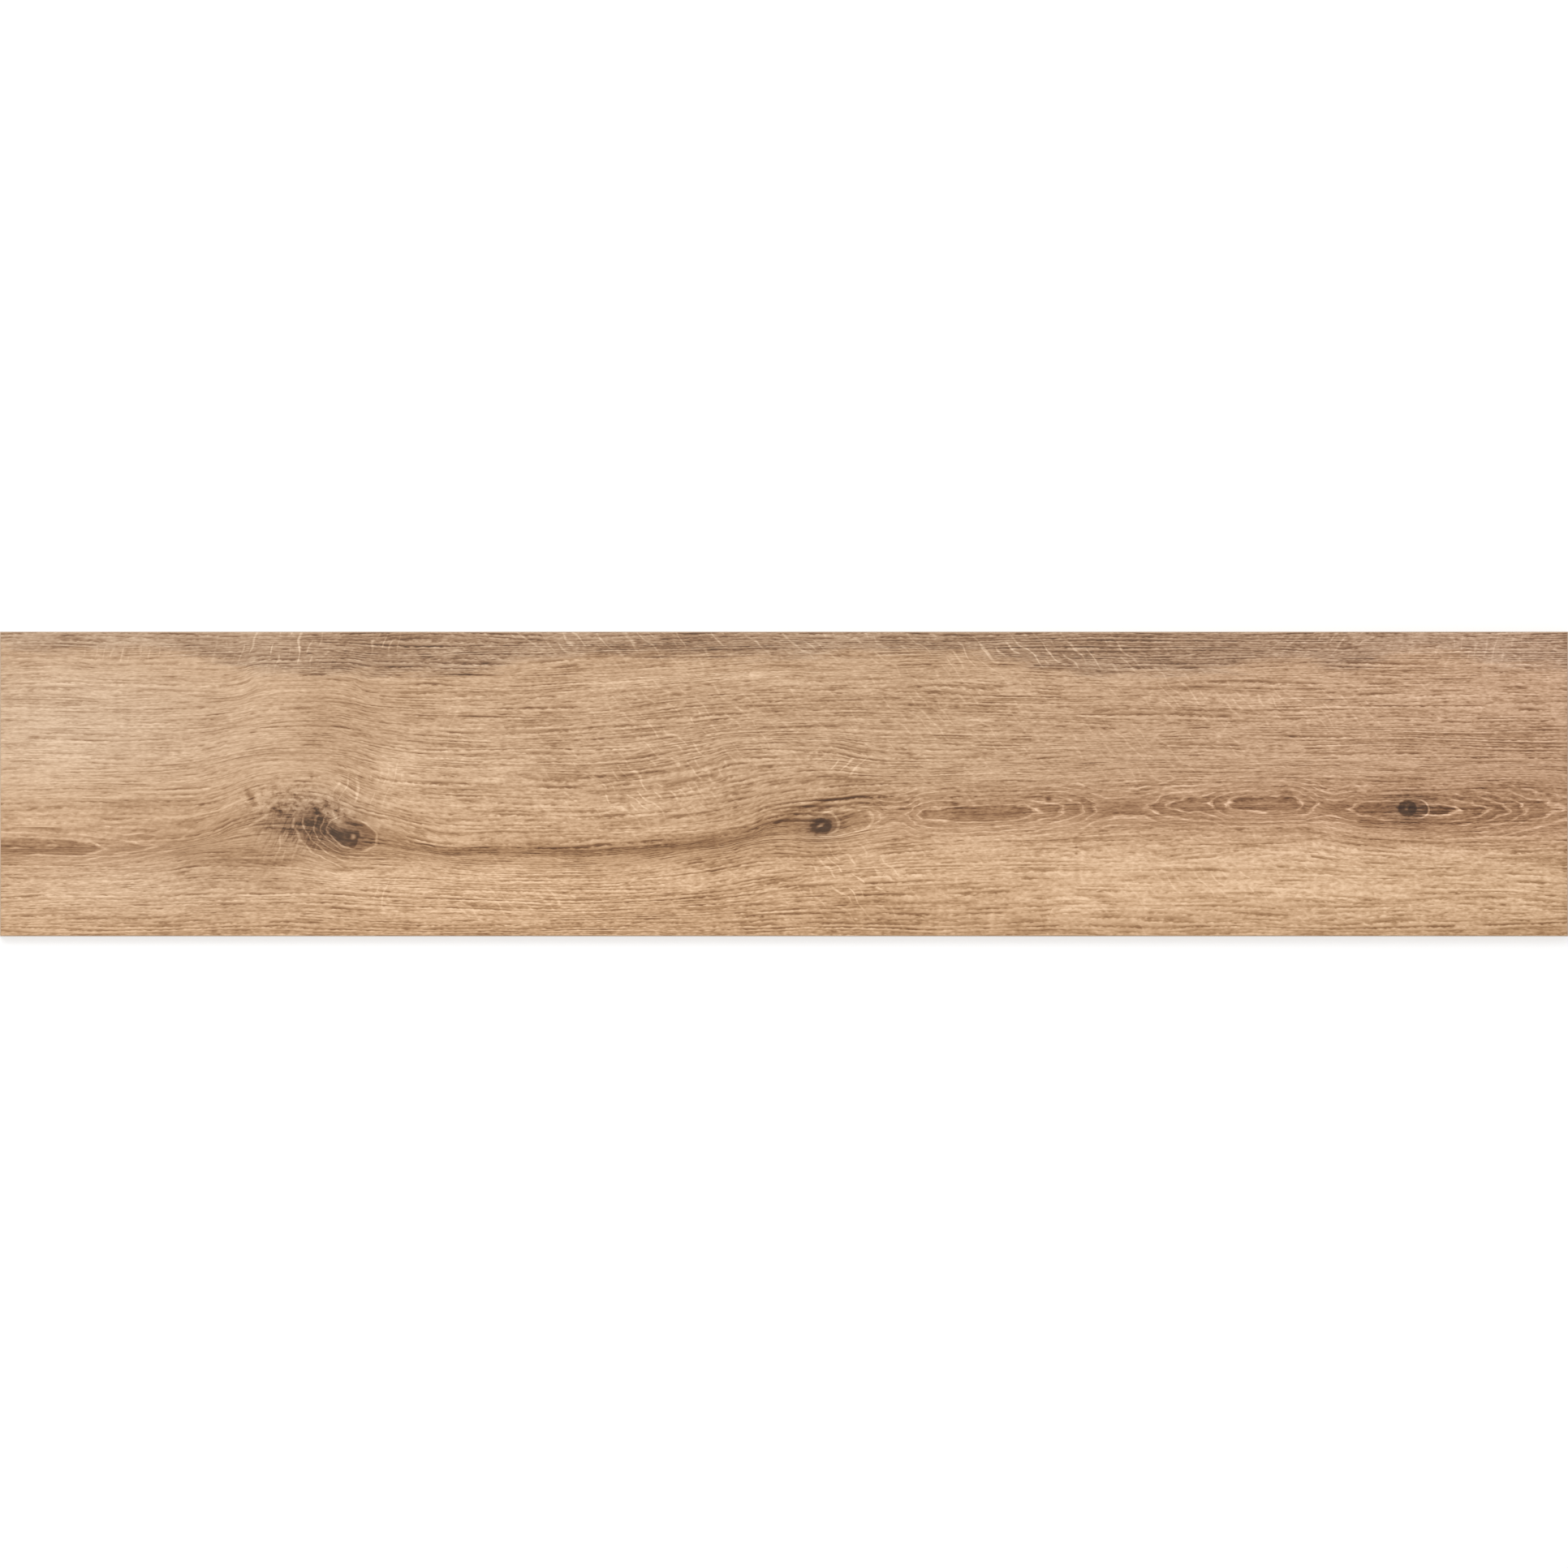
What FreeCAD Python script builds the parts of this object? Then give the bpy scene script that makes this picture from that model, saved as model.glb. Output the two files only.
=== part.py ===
"""Wood look porcelain plank tile: one fired slab, ground square, with a keyed back.

The tile lies flat, face up. X runs along the plank, Y across it and Z up from the bed that it
lies on, with the origin at the middle of the back. The printed oak face is flat here, because
its grain relief is finer than a solid should carry.

The slab is pressed with a keyed back. Shallow channels run along it between bed ribs, whose tips
the tile lies on, and lower cross ribs divide the channels into square cells. All their walls
slope, so that the press lets go. The cells fill with adhesive when the tile is laid, and the air
gets out along the channels over the cross ribs. After firing, the four sides are ground square
and their sharp edges are eased.
"""

import FreeCAD, Part
import os

import Sketcher

PARTS_FOLDER = "parts"

# Driving dimensions, in millimetres and degrees. Each name is the alias of its cell in the sheet.
SIZES = {
    "tile_length": 1200.0,
    "tile_width": 233.0,
    "tile_thickness": 10.0,
    "face_bevel": 0.6,
    "back_bevel": 0.4,
    "least_rim": 6.0,
    "cell_pitch": 27.0,
    "bed_rib_width": 3.0,
    "cross_rib_width": 2.0,
    "channel_depth": 0.8,
    "cross_rib_height": 0.5,
    "wall_slope": 35.0,
}

# Sizes that follow from the driving ones, as formulas in the sheet's own terms.
DERIVED = {
    "cells_along": "=floor((tile_length - 2 * least_rim + bed_rib_width) / (2 * cell_pitch)) * 2",
    "cells_across": "=floor((tile_width - 2 * least_rim + bed_rib_width) / (2 * cell_pitch)) * 2",
    "channel_length": "=cells_along * cell_pitch - bed_rib_width",
    "channel_width": "=cell_pitch - bed_rib_width",
    "lattice_width": "=cells_across * cell_pitch",
    "cross_rib_foot": "=cross_rib_width + 2 * cross_rib_height * tan(wall_slope * 1deg)",
    "cross_rib_tip": "=channel_depth - cross_rib_height",
}

TOUCHING = 1e-6


def fill_sheet(doc):
    """Writes the sizes to a spreadsheet, one row each, with the name as the cell's alias."""
    sheet = doc.addObject("Spreadsheet::Sheet", "sizes")
    rows = [(name, str(value)) for name, value in SIZES.items()]
    rows += list(DERIVED.items())
    for row, (name, content) in enumerate(rows, start=1):
        sheet.set(f"A{row}", name)
        sheet.set(f"B{row}", content)
        sheet.setAlias(f"B{row}", name)
    doc.recompute()
    return sheet


def origin_part(body, role):
    """One of the body's own origin planes or axes, such as XY_Plane or X_Axis."""
    return next(part for part in body.Origin.OriginFeatures if part.Role == role)


def add_outline(sketch, corners):
    """Draws a closed outline of straight lines through the corners, joined end to end."""
    lines = [
        sketch.addGeometry(Part.LineSegment(start, end), False)
        for start, end in zip(corners, corners[1:] + corners[:1])
    ]
    for line, after in zip(lines, lines[1:] + lines[:1]):
        sketch.addConstraint(Sketcher.Constraint("Coincident", line, 2, after, 1))
    return lines


def add_rectangle(sketch, centre_x, centre_y, side_x, side_y):
    """Draws a rectangle from its centre, its size and place bound to expressions."""
    corners = [
        FreeCAD.Vector(x, y, 0)
        for x, y in ((-50, -20), (50, -20), (50, 20), (-50, 20))
    ]
    bottom, right, top, left = add_outline(sketch, corners)
    for line in (bottom, top):
        sketch.addConstraint(Sketcher.Constraint("Horizontal", line))
    for line in (left, right):
        sketch.addConstraint(Sketcher.Constraint("Vertical", line))
    middle = sketch.addGeometry(Part.Point(FreeCAD.Vector(0, 0, 0)), True)
    sketch.addConstraint(Sketcher.Constraint("Symmetric", bottom, 1, top, 1, middle, 1))
    bind(sketch, "side_x", Sketcher.Constraint("DistanceX", bottom, 1, bottom, 2, 100.0), side_x)
    bind(sketch, "side_y", Sketcher.Constraint("DistanceY", right, 1, right, 2, 40.0), side_y)
    bind(sketch, "centre_x", Sketcher.Constraint("DistanceX", -1, 1, middle, 1, 0.0), centre_x)
    bind(sketch, "centre_y", Sketcher.Constraint("DistanceY", -1, 1, middle, 1, 0.0), centre_y)


def bind(sketch, name, constraint, expression):
    """Adds a named dimension to a sketch and ties it to the sheet."""
    index = sketch.addConstraint(constraint)
    sketch.renameConstraint(index, name)
    sketch.setExpression(f"Constraints.{name}", expression)


def new_sketch(body, name):
    """A sketch on the body's XY plane, which is the bed that the tile lies on."""
    sketch = body.newObject("Sketcher::SketchObject", name)
    sketch.AttachmentSupport = [(origin_part(body, "XY_Plane"), "")]
    sketch.MapMode = "FlatFace"
    return sketch


def edges_at_height(shape, height):
    """Names of the straight edges that lie wholly at one height."""
    return [
        f"Edge{index}"
        for index, edge in enumerate(shape.Edges, start=1)
        if all(abs(vertex.Z - height) < TOUCHING for vertex in edge.Vertexes)
    ]


def press_slab(doc, body):
    """The plain slab: the tile's outline raised to its thickness."""
    outline = new_sketch(body, "tile_outline")
    add_rectangle(outline, "0 mm", "0 mm", "sizes.tile_length", "sizes.tile_width")
    slab = body.newObject("PartDesign::Pad", "slab")
    slab.Profile = outline
    slab.setExpression("Length", "sizes.tile_thickness")
    doc.recompute()
    return slab


def ease_edges(doc, body, base, name, height, size):
    """Grinds a small bevel on the four edges of the slab at one height."""
    bevel = body.newObject("PartDesign::Chamfer", name)
    bevel.Base = (base, edges_at_height(base.Shape, height))
    bevel.setExpression("Size", size)
    doc.recompute()
    return bevel


def press_channels(doc, body):
    """Presses the long channels into the back, leaving the bed ribs and a plain rim."""
    mouth = new_sketch(body, "first_channel_mouth")
    add_rectangle(
        mouth,
        "0 mm",
        "-(sizes.cells_across - 1) / 2 * sizes.cell_pitch",
        "sizes.channel_length",
        "sizes.channel_width",
    )
    channel = body.newObject("PartDesign::Pocket", "first_channel")
    channel.Profile = mouth
    channel.Reversed = True
    channel.setExpression("Length", "sizes.channel_depth")
    channel.setExpression("TaperAngle", "-sizes.wall_slope")
    doc.recompute()

    channels = body.newObject("PartDesign::LinearPattern", "channels")
    channels.Originals = [channel]
    channels.Direction = (mouth, ["V_Axis"])
    channels.setExpression("Length", "(sizes.cells_across - 1) * sizes.cell_pitch")
    channels.setExpression("Occurrences", "sizes.cells_across")
    body.Tip = channels
    doc.recompute()
    return channels


def add_cross_ribs(doc, body):
    """Divides the channels into cells with ribs that stop short of the bed."""
    section = body.newObject("Sketcher::SketchObject", "first_cross_rib_section")
    section.AttachmentSupport = [(origin_part(body, "XZ_Plane"), "")]
    section.MapMode = "FlatFace"
    corners = [FreeCAD.Vector(x, z, 0) for x, z in ((-9, 3), (9, 3), (5, 1), (-5, 1))]
    foot, right, tip, left = add_outline(section, corners)
    for line in (foot, tip):
        section.addConstraint(Sketcher.Constraint("Horizontal", line))
    section.addConstraint(Sketcher.Constraint("Equal", left, right))
    widths = {
        "foot": (Sketcher.Constraint("DistanceX", foot, 1, foot, 2, 18.0), "sizes.cross_rib_foot"),
        "tip": (Sketcher.Constraint("DistanceX", tip, 2, tip, 1, 10.0), "sizes.cross_rib_width"),
    }
    places = {
        "foot_height": (Sketcher.Constraint("DistanceY", -1, 1, foot, 1, 3.0), "sizes.channel_depth"),
        "tip_height": (Sketcher.Constraint("DistanceY", -1, 1, tip, 1, 1.0), "sizes.cross_rib_tip"),
        "tip_start": (
            Sketcher.Constraint("DistanceX", -1, 1, tip, 2, -5.0),
            "-(sizes.cells_along / 2 - 1) * sizes.cell_pitch - sizes.cross_rib_width / 2",
        ),
    }
    for name, (constraint, expression) in (widths | places).items():
        bind(section, name, constraint, expression)
    rib = body.newObject("PartDesign::Pad", "first_cross_rib")
    rib.Profile = section
    rib.SideType = "Symmetric"
    rib.setExpression("Length", "sizes.lattice_width")
    doc.recompute()

    ribs = body.newObject("PartDesign::LinearPattern", "cross_ribs")
    ribs.Originals = [rib]
    ribs.Direction = (section, ["H_Axis"])
    ribs.setExpression("Length", "(sizes.cells_along - 2) * sizes.cell_pitch")
    ribs.setExpression("Occurrences", "sizes.cells_along - 1")
    body.Tip = ribs
    doc.recompute()
    return ribs


def build_tile(doc, sheet):
    """The whole tile, as one body."""
    body = doc.addObject("PartDesign::Body", "plank_tile")
    body.Label = "plank_tile"
    slab = press_slab(doc, body)
    eased = ease_edges(doc, body, slab, "face_bevel", sheet.tile_thickness, "sizes.face_bevel")
    eased = ease_edges(doc, body, eased, "back_bevel", 0.0, "sizes.back_bevel")
    press_channels(doc, body)
    add_cross_ribs(doc, body)
    return body


def check(doc, bodies):
    """Stops the build if a feature failed or a body isn't one sound solid."""
    failed = [
        item.Name
        for item in doc.Objects
        if "Invalid" in item.State or "Error" in item.State
    ]
    if failed:
        raise RuntimeError(f"these features failed: {failed}")
    for body in bodies:
        shape = body.Shape
        if shape.isNull() or not shape.isValid() or len(shape.Solids) != 1:
            raise RuntimeError(f"{body.Label} isn't one valid solid")


def main():
    doc = FreeCAD.newDocument("plank_tile")
    sheet = fill_sheet(doc)
    bodies = [build_tile(doc, sheet)]
    doc.recompute()
    check(doc, bodies)
    os.makedirs(PARTS_FOLDER, exist_ok=True)
    for body in bodies:
        body.Shape.exportStep(os.path.join(PARTS_FOLDER, f"{body.Label}.step"))
        box = body.Shape.BoundBox
        print(
            f"{body.Label}: {box.XLength:.2f} x {box.YLength:.2f} x {box.ZLength:.2f} mm, "
            f"{body.Shape.Volume / 1000:.1f} cm3, {len(body.Shape.Faces)} faces"
        )


main()
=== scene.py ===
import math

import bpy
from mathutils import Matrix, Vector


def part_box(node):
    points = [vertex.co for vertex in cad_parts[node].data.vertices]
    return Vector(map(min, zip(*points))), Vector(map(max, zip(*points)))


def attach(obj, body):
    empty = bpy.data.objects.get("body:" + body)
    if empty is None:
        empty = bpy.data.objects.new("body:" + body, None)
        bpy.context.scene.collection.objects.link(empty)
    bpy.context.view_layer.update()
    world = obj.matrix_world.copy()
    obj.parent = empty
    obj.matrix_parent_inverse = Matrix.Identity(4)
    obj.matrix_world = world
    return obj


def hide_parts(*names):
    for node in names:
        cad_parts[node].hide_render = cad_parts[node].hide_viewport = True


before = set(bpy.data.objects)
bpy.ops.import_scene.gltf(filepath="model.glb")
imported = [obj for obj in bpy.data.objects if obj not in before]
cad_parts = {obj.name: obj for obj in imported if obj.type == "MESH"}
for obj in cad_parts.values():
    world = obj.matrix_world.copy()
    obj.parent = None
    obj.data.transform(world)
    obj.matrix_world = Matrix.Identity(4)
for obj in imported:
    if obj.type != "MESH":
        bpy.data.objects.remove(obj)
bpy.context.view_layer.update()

# A porcelain plank tile, lying face up on a pale floor and seen from straight above.
# The oak is drawn once, as formulas over the tile's face. They give the print its colour and the
# press its relief, so each groove lies along its own line of the grain.

# The photograph's frame. Places on the print are given in its pixels, x to the right and y down.
PHOTO_SIZE = 1932
PHOTO_MIDDLE = PHOTO_SIZE / 2
TILE_LOW, TILE_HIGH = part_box("plank_tile")
TILE_LENGTH = TILE_HIGH.x - TILE_LOW.x
TILE_WIDTH = TILE_HIGH.y - TILE_LOW.y
FACE_HEIGHT = TILE_HIGH.z
METRES_PER_PIXEL = TILE_LENGTH / PHOTO_SIZE
TOP_ROW = PHOTO_MIDDLE - TILE_WIDTH / 2 / METRES_PER_PIXEL
BOTTOM_ROW = PHOTO_MIDDLE + TILE_WIDTH / 2 / METRES_PER_PIXEL

# The face is cut into a grid of 300 by 300 cells, in two steps, with an edge down its middle.
FACE_CUTS = (99, 2)
# How near two points are one, which faces lie in one plane and which edges are shaded as smooth.
SAME_POINT = 0.000001
SAME_PLANE_DEGREES = 0.5
SMOOTH_DEGREES = 28
# How deep the grain is pressed in, in metres.
RELIEF_DEPTH = 0.00022
# The three finishes, and what tells them apart: how far in from the outline the ground bevels
# reach, how near a height counts as on it, and how far up the normal of a flat face points.
PRINT, GROUND, BACK = range(3)
BEVEL_REACH = 0.0005
ON_HEIGHT = 0.00001
FLAT = 0.9

# How the tile is unrolled on a square sheet, in points of the sheet: left, foot, width and height.
# A side takes its two bevels with it, and each has some room.
SHEET_SIZE = 1024
BEVEL_ROOM = 0.0006
SHEET_PATCHES = {
    "front edge": (8, 6, 1008, 14),
    "rear edge": (8, 26, 1008, 14),
    "left end": (8, 46, 500, 14),
    "right end": (516, 46, 500, 14),
    "back": (8, 66, 1008, 150),
    "left of the print": (8, 222, 1008, 394),
    "right of the print": (8, 622, 1008, 394),
}

# Where the grain runs. Each line of the grain has a level, which is its height where the wood is
# calm, and the points that it passes through.
HEART_LEVEL = 1020
GRAIN_LINES = {
    851: [
        (0, 851), (60, 850), (150, 853), (250, 853), (300, 849), (350, 839), (400, 839), (450, 848),
        (500, 851), (600, 851), (700, 848), (800, 841), (900, 835), (1000, 831), (1200, 832),
        (1400, 836), (1932, 838),
    ],
    905: [
        (0, 906), (150, 906), (220, 905), (280, 898), (330, 891), (380, 888), (430, 893),
        (480, 901), (540, 906), (650, 908), (750, 903), (850, 894), (950, 887), (1050, 886),
        (1200, 889), (1400, 892), (1932, 895),
    ],
    955: [
        (0, 958), (100, 957), (200, 955), (260, 948), (310, 938), (360, 934), (410, 936),
        (450, 944), (500, 953), (600, 957), (700, 958), (760, 956), (820, 949), (880, 938),
        (940, 930), (1000, 930), (1060, 937), (1120, 940), (1300, 938), (1450, 936), (1932, 940),
    ],
    985: [
        (0, 987), (120, 987), (220, 986), (270, 979), (300, 968), (330, 960), (370, 957),
        (410, 962), (440, 975), (480, 988), (530, 997), (600, 1001), (700, 1001), (780, 999),
        (840, 995), (900, 987), (960, 972), (1010, 964), (1060, 962), (1150, 962), (1300, 960),
        (1450, 955), (1600, 955), (1735, 958), (1850, 955), (1932, 958),
    ],
    HEART_LEVEL: [
        (0, 1043), (120, 1044), (190, 1041), (260, 1030), (300, 1015), (350, 1009), (390, 1012),
        (423, 1026), (465, 1031), (484, 1034), (530, 1045), (560, 1048), (600, 1047), (700, 1048),
        (760, 1046), (820, 1042), (880, 1035), (930, 1025), (970, 1016), (1015, 1018), (1050, 1010),
        (1100, 1005), (1180, 1003), (1250, 1000), (1350, 996), (1500, 991), (1590, 990),
        (1650, 996), (1735, 998), (1850, 998), (1932, 996),
    ],
    1062: [
        (0, 1062), (100, 1064), (200, 1059), (280, 1050), (340, 1050), (400, 1058), (450, 1063),
        (500, 1063), (560, 1068), (620, 1071), (700, 1072), (780, 1068), (850, 1059), (900, 1052),
        (960, 1044), (1000, 1046), (1040, 1044), (1080, 1036), (1130, 1030), (1200, 1026),
        (1300, 1024), (1400, 1020), (1500, 1018), (1600, 1017), (1650, 1024), (1700, 1028),
        (1760, 1030), (1830, 1030), (1932, 1028),
    ],
    1100: [
        (0, 1100), (150, 1099), (250, 1093), (330, 1091), (400, 1094), (460, 1100), (550, 1104),
        (700, 1106), (800, 1103), (900, 1096), (1000, 1085), (1100, 1078), (1200, 1074),
        (1350, 1072), (1500, 1072), (1650, 1074), (1800, 1077), (1932, 1080),
    ],
}

# How many rings lie below the face along the heart line. Where it rises through a whole number,
# the cut shows the pointed tip of a ring.
RINGS_BELOW = [
    (0, 0.1), (60, 0.2), (105, 0.55), (125, 1), (182, 2), (240, 3), (330, 3.8), (480, 3.8),
    (900, 3.8), (960, 2.6), (985, 1.2), (1013, -0.3), (1045, 0.5), (1076, 1), (1098, 2.5),
    (1115, 2.3), (1131, 1), (1150, 0.6), (1200, 0.35), (1250, 0.55), (1274, 1), (1311, 2),
    (1335, 3), (1390, 4.4), (1412, 4.1), (1440, 3), (1462, 2.55), (1480, 2.4), (1493, 2), (1511, 1),
    (1535, 0.5), (1580, 0.45), (1606, 1), (1622, 2), (1640, 2.5), (1664, 2), (1685, 1.5),
    (1720, 1.2), (1745, 0.8), (1770, 0.7), (1793, 1), (1831, 2), (1861, 3), (1881, 4), (1920, 5),
    (1932, 5.2),
]
# How far apart the rings lie away from the heart line, and how many lie below the calm wood.
RING_STEP = 7.5
RINGS_BELOW_CALM = 3.5

# The dark streak along the heart line: how dark and how wide it is on its way.
STREAK_STRENGTH = [
    (0, 0.8), (60, 0.75), (95, 0.5), (125, 0.2), (200, 0.1), (300, 0.2), (480, 0.5), (520, 0.7),
    (560, 1), (640, 0.95), (760, 0.9), (850, 1), (900, 0.95), (950, 0.8), (1000, 0.5), (1050, 0.15),
    (1100, 0), (1932, 0),
]
STREAK_WIDTH = [
    (0, 7), (120, 7), (480, 9), (530, 5), (600, 5), (700, 6), (760, 7), (860, 8), (930, 10),
    (980, 12), (1050, 10), (1932, 10),
]

# The grey-brown band along the upper edge: where it ends and how dark it is.
BAND_FOOT = [
    (0, 792), (60, 800), (150, 798), (240, 806), (300, 822), (360, 828), (450, 830), (540, 830),
    (600, 825), (650, 812), (750, 806), (960, 808), (1050, 803), (1150, 802), (1230, 810),
    (1300, 824), (1400, 831), (1480, 829), (1540, 818), (1600, 812), (1650, 822), (1700, 815),
    (1760, 802), (1850, 820), (1932, 822),
]
BAND_STRENGTH = [
    (0, 4), (60, 16), (90, 20), (130, 8), (200, 10), (260, 22), (320, 18), (400, 22), (480, 30),
    (560, 22), (640, 20), (760, 20), (830, 26), (960, 22), (1050, 12), (1150, 16), (1250, 20),
    (1340, 25), (1430, 23), (1510, 25), (1560, 20), (1650, 22), (1720, 10), (1800, 8), (1932, 12),
]

# How clear the fine grain is along the plank.
CONTRAST = [(0, 0.72), (260, 0.78), (480, 0.92), (560, 1), (1400, 1), (1700, 1.12), (1932, 1.16)]

# Soft patches of the print: middle x and y, reach along and across, tilt in degrees with the right
# end down, and the change of tone.
PATCHES = [
    (50, 920, 170, 70, 0, 18), (130, 848, 150, 36, 0, 14), (330, 880, 40, 60, 0, 7),
    (390, 895, 20, 34, 0, -13), (450, 900, 34, 46, 0, -6), (490, 955, 26, 45, 0, 12),
    (600, 935, 120, 14, 0, 12), (700, 1003, 250, 26, 0, 9), (620, 1092, 250, 28, 0, 13),
    (100, 1090, 180, 34, 0, 9), (262, 1056, 75, 22, 0, -18), (435, 1084, 48, 20, 0, 10),
    (1060, 1116, 70, 20, 0, -10), (1300, 1060, 300, 26, 0, 14), (1560, 1090, 210, 34, 0, 16),
    (1800, 1105, 160, 34, 0, 6), (1500, 990, 430, 26, 0, -12), (1850, 1012, 110, 44, 0, -9),
    (1905, 960, 60, 14, 0, -14), (1890, 912, 90, 14, 0, -9), (160, 990, 190, 10, 0, -9),
    (240, 1015, 80, 14, 0, -9), (1640, 1036, 26, 17, 0, 15), (1690, 1036, 26, 15, 10, -9),
    (900, 797, 180, 16, 0, -6), (1170, 797, 90, 14, 0, -8), (1720, 795, 40, 14, 0, -9),
    (100, 862, 100, 20, 0, -6), (110, 905, 120, 16, 0, -6), (1190, 868, 120, 16, 0, -7),
    (970, 985, 90, 14, -8, -7), (1480, 1112, 220, 34, 0, 9), (1190, 1082, 90, 16, 0, 8),
    (590, 1132, 110, 14, 0, 8), (1860, 1060, 90, 16, 0, 7), (80, 1132, 80, 14, 0, 8),
    (760, 805, 55, 20, 0, -6), (1300, 805, 60, 18, 0, -6), (1080, 872, 180, 24, 0, -5),
    (230, 930, 190, 26, 0, 5), (60, 1000, 80, 24, 0, 8), (340, 985, 60, 14, 0, 4),
    (620, 1052, 60, 16, 0, -6), (900, 992, 60, 20, 0, -8), (345, 1052, 50, 16, 0, -6),
    (1790, 1046, 110, 16, 0, 8), (60, 1105, 80, 26, 0, 7), (1310, 1112, 80, 26, 0, 11),
    (1050, 1100, 90, 20, 0, 6), (1590, 862, 70, 26, 0, 5), (1440, 985, 60, 18, 0, 4),
    (560, 1112, 120, 18, 0, 5), (600, 1104, 120, 26, 0, 5), (1863, 1100, 90, 24, 0, 6),
    (1650, 1050, 110, 14, 0, 4), (690, 1036, 130, 10, 0, -4), (900, 985, 60, 16, 0, -4),
    (1035, 925, 60, 18, 0, -5), (1311, 925, 70, 20, 0, -4), (345, 1045, 50, 14, 0, -5),
    (1870, 875, 70, 26, 0, 6), (1450, 975, 60, 12, 0, 4),
    # round the first knot
    (342, 1016, 28, 16, 0, -24), (374, 1024, 24, 20, 10, -20), (365, 985, 20, 10, 0, -17),
    (325, 990, 18, 9, 0, 12), (413, 992, 9, 6, 20, -28), (424, 1018, 14, 5, 5, 14),
    (400, 1020, 20, 7, 40, -26), (378, 1004, 16, 4, 42, -10), (436, 1013, 20, 5, 28, -28),
    (408, 998, 22, 4, 30, -22),
    # along the chain of ovals
    (1380, 995, 70, 6, 0, -14), (1500, 984, 70, 4, 0, -10), (1688, 1014, 20, 7, 8, -28),
    (1778, 999, 18, 4, 4, -10), (1756, 984, 15, 4.5, 22, -24), (1742, 1012, 16, 4, 0, -22),
    (1690, 993, 26, 4, 0, -12), (1084, 1003, 10, 5, 0, 12), (1205, 1000, 110, 12, -2, -14),
    (1500, 991, 120, 13, 0, -13), (1700, 998, 60, 18, 0, -14), (1845, 1000, 80, 22, 0, -20),
]
# Where the dark lines lie denser, given in the same way.
DENSE_LINES = [
    (1035, 988, 90, 11, -7, 1.6), (975, 1004, 40, 9, -22, 1.2), (1050, 932, 60, 14, 0, 0.8),
    (1180, 922, 70, 16, 0, 0.5), (1780, 905, 150, 30, 0, 0.6), (1860, 930, 90, 24, 0, 0.5),
    (720, 1048, 210, 9, 0, 0.5), (650, 925, 160, 16, 0, 0.5), (640, 882, 150, 14, 0, 0.5),
    (330, 1016, 30, 12, 0, 0.8), (120, 1045, 90, 12, 0, 0.8), (880, 872, 120, 14, 0, 0.4),
    (1400, 872, 150, 14, 0, 0.4), (470, 1003, 50, 9, 22, 0.9), (1840, 998, 90, 26, 0, 0.4),
    (1400, 797, 170, 14, 0, 0.6), (700, 1110, 220, 26, 0, 0.5),
]
# Small sharp marks, given in the same way.
MARKS = [
    (308, 981, 9, 3.2, 62, -44), (342, 998, 6, 5, 0, -28), (389, 998, 6, 4.5, 20, -56),
    (397, 1004, 5, 2.5, 40, -20), (383, 1015, 8, 3.2, 10, -12), (416, 1011, 4.5, 3.5, 20, 36),
    (435, 1031, 2.6, 2.4, 0, 80), (318, 1011, 19, 1.4, -30, 34), (1011, 1017, 4, 1.6, -22, 90),
    (1032, 1019, 10, 1.6, 0, -34), (1051, 995, 4, 1.3, 5, -36), (1140, 1002, 3.5, 5, 0, -22),
    (1182, 1002, 7, 7, 0, -18), (1204, 1003, 9, 6, 0, -24), (1292, 985, 3.4, 2.8, 0, -46),
    (1335, 985, 3, 1.8, 0, -26), (1467, 984, 5, 3, 0, -20), (1586, 980, 8, 5, 12, -30),
    (1606, 996, 3, 4, 0, -28), (1326, 1044, 1.6, 1.4, 0, -50), (1326, 1052, 1.6, 1.2, 0, -50),
    (384, 958, 1.6, 1.4, 0, -40), (1733, 995, 2, 2.4, 0, 50), (1774, 995, 12, 1.4, 4, -18),
    (1786, 999, 14, 1.2, 4, -22), (1772, 1003, 13, 1.6, -6, -22), (1177, 990, 4, 4, 0, -36),
    (1192, 996, 16, 1.1, 0, -26), (571, 831, 32, 1, 0.6, -66), (770, 956, 5, 1.5, -8, -38),
    (779, 954, 3.5, 1.4, -8, -40), (788, 953, 3.5, 1.2, -8, -38), (800, 951.5, 8, 1.8, -8, -52),
    (813, 950, 5, 1.3, -8, -34), (600, 882, 26, 1.7, 0, -26), (672, 880, 14, 3, 0, -18),
    (740, 957, 22, 1.5, -4, -26), (972, 1007, 20, 2.2, -24, -32), (1000, 992, 24, 2, -14, -46),
    (1046, 984, 30, 2, -3, -48), (1097, 985, 20, 1.6, 3, -38), (1010, 997, 20, 1.8, -16, -36),
    (1075, 991, 20, 1.4, 8, -30), (893, 833, 60, 3.4, -3, 24), (775, 840, 26, 1.8, -2, 18),
]
# Where the wood is greyer, given in the same way, with the change of warmth.
GREYER_WOOD = [
    (80, 880, 200, 100, 0, -0.35), (180, 1090, 280, 60, 0, -0.35), (385, 1010, 60, 34, 0, -0.6),
    (1013, 1019, 20, 15, 0, -0.6), (1738, 997, 24, 15, 0, -0.6), (422, 1030, 26, 14, 0, -0.4),
]
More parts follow.
